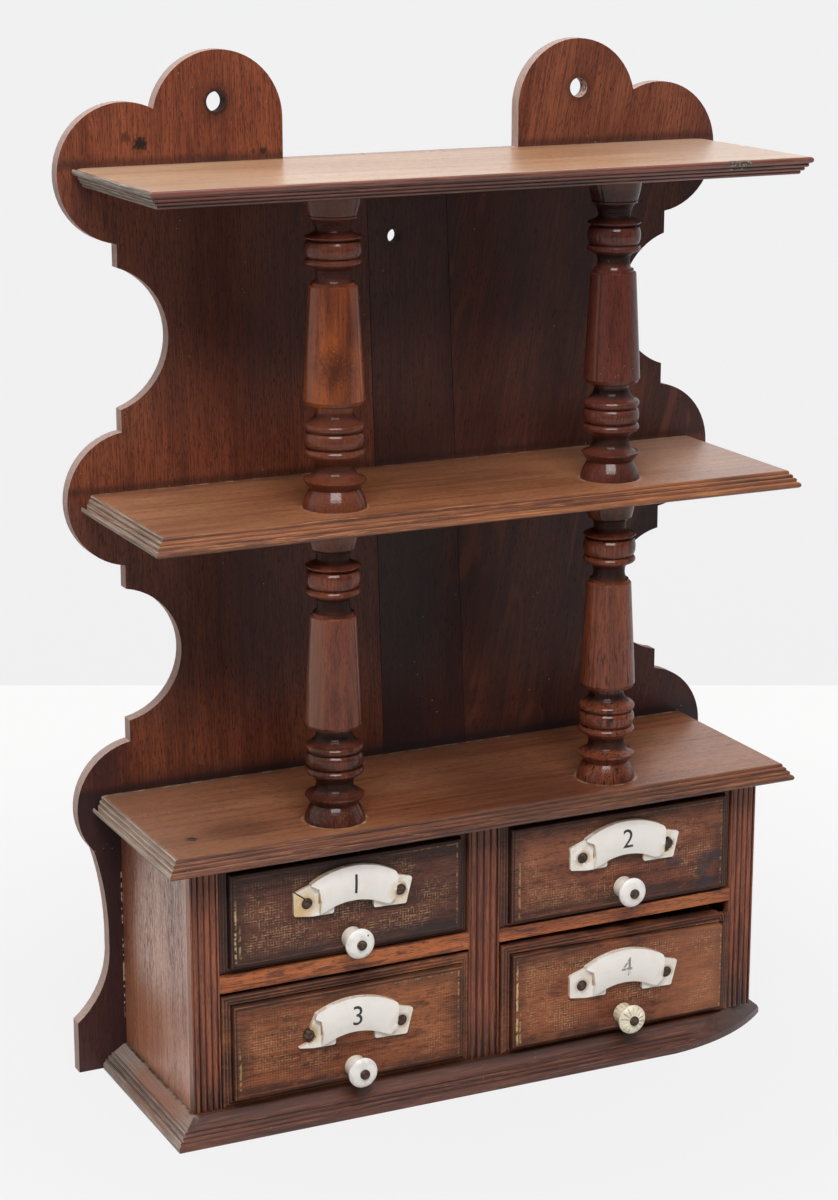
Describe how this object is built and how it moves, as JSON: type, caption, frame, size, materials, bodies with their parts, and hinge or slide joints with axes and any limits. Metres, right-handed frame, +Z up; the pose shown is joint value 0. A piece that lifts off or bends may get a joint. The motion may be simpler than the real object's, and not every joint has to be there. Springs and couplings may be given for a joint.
{
  "type": "hanging spice cabinet",
  "caption": "Old wooden wall cabinet for spices: fretted back boards, moulded shelves on turned columns, and small drawers with porcelain name plates and knobs.",
  "frame": {"origin": "middle of the footprint's bounding box, on the surface that the cabinet stands on", "axes": "+X to the cabinet's right seen from the front, +Y to the wall behind it, +Z up"},
  "size_m": [0.3492, 0.116, 0.487],
  "materials": {
    "back_wood": "worn satin varnish over red-brown stain",
    "shelf_wood": "rubbed satin varnish, worn along the edges",
    "case_wood": "satin varnish, dusty in the corners",
    "column_wood": "glossy varnish over red-brown stain",
    "front_wood": "old varnish with dust in the grain",
    "inside_wood": "bare, planed",
    "porcelain": "white glaze, a little yellowed",
    "cream_porcelain": "cream glaze",
    "dark_iron": "oxidised, almost black"
  },
  "bodies": {
    "carcass": {"back_board_left": "back_wood", "back_board_middle": "back_wood", "back_board_right": "back_wood", "top_shelf": "shelf_wood", "middle_shelf": "shelf_wood", "case_top": "shelf_wood", "base_board": "shelf_wood", "case_side_left": "case_wood", "case_side_right": "case_wood", "case_divider": "case_wood", "reeded_strip_left": "case_wood", "reeded_strip_middle": "case_wood", "reeded_strip_right": "case_wood", "drawer_shelf_left": "case_wood", "drawer_shelf_right": "case_wood", "drawer_guides_left": "inside_wood", "drawer_guides_right": "inside_wood", "column_upper_left": "column_wood", "column_upper_right": "column_wood", "column_lower_left": "column_wood", "column_lower_right": "column_wood"},
    "drawer_upper_left": {"upper_left_front": "front_wood", "upper_left_side_left": "inside_wood", "upper_left_side_right": "inside_wood", "upper_left_back": "inside_wood", "upper_left_bottom": "inside_wood", "upper_left_label": "porcelain", "upper_left_label_pins": "dark_iron", "upper_left_knob": "porcelain", "upper_left_knob_screw": "dark_iron"},
    "drawer_upper_right": {"upper_right_front": "front_wood", "upper_right_side_left": "inside_wood", "upper_right_side_right": "inside_wood", "upper_right_back": "inside_wood", "upper_right_bottom": "inside_wood", "upper_right_label": "porcelain", "upper_right_label_pins": "dark_iron", "upper_right_knob": "porcelain", "upper_right_knob_screw": "dark_iron"},
    "drawer_lower_left": {"lower_left_front": "front_wood", "lower_left_side_left": "inside_wood", "lower_left_side_right": "inside_wood", "lower_left_back": "inside_wood", "lower_left_bottom": "inside_wood", "lower_left_label": "porcelain", "lower_left_label_pins": "dark_iron", "lower_left_knob": "porcelain", "lower_left_knob_screw": "dark_iron"},
    "drawer_lower_right": {"lower_right_front": "front_wood", "lower_right_side_left": "inside_wood", "lower_right_side_right": "inside_wood", "lower_right_back": "inside_wood", "lower_right_bottom": "inside_wood", "lower_right_label": "porcelain", "lower_right_label_pins": "dark_iron", "lower_right_knob": "cream_porcelain", "lower_right_knob_screw": "dark_iron"}
  },
  "joints": [
    {"name": "slide_upper_left", "type": "slide", "parent": "carcass", "child": "drawer_upper_left", "axis": [0, -1, 0], "range_m": [0, 0.07]},
    {"name": "slide_upper_right", "type": "slide", "parent": "carcass", "child": "drawer_upper_right", "axis": [0, -1, 0], "range_m": [0, 0.07]},
    {"name": "slide_lower_left", "type": "slide", "parent": "carcass", "child": "drawer_lower_left", "axis": [0, -1, 0], "range_m": [0, 0.07]},
    {"name": "slide_lower_right", "type": "slide", "parent": "carcass", "child": "drawer_lower_right", "axis": [0, -1, 0], "range_m": [0, 0.07]}
  ]
}
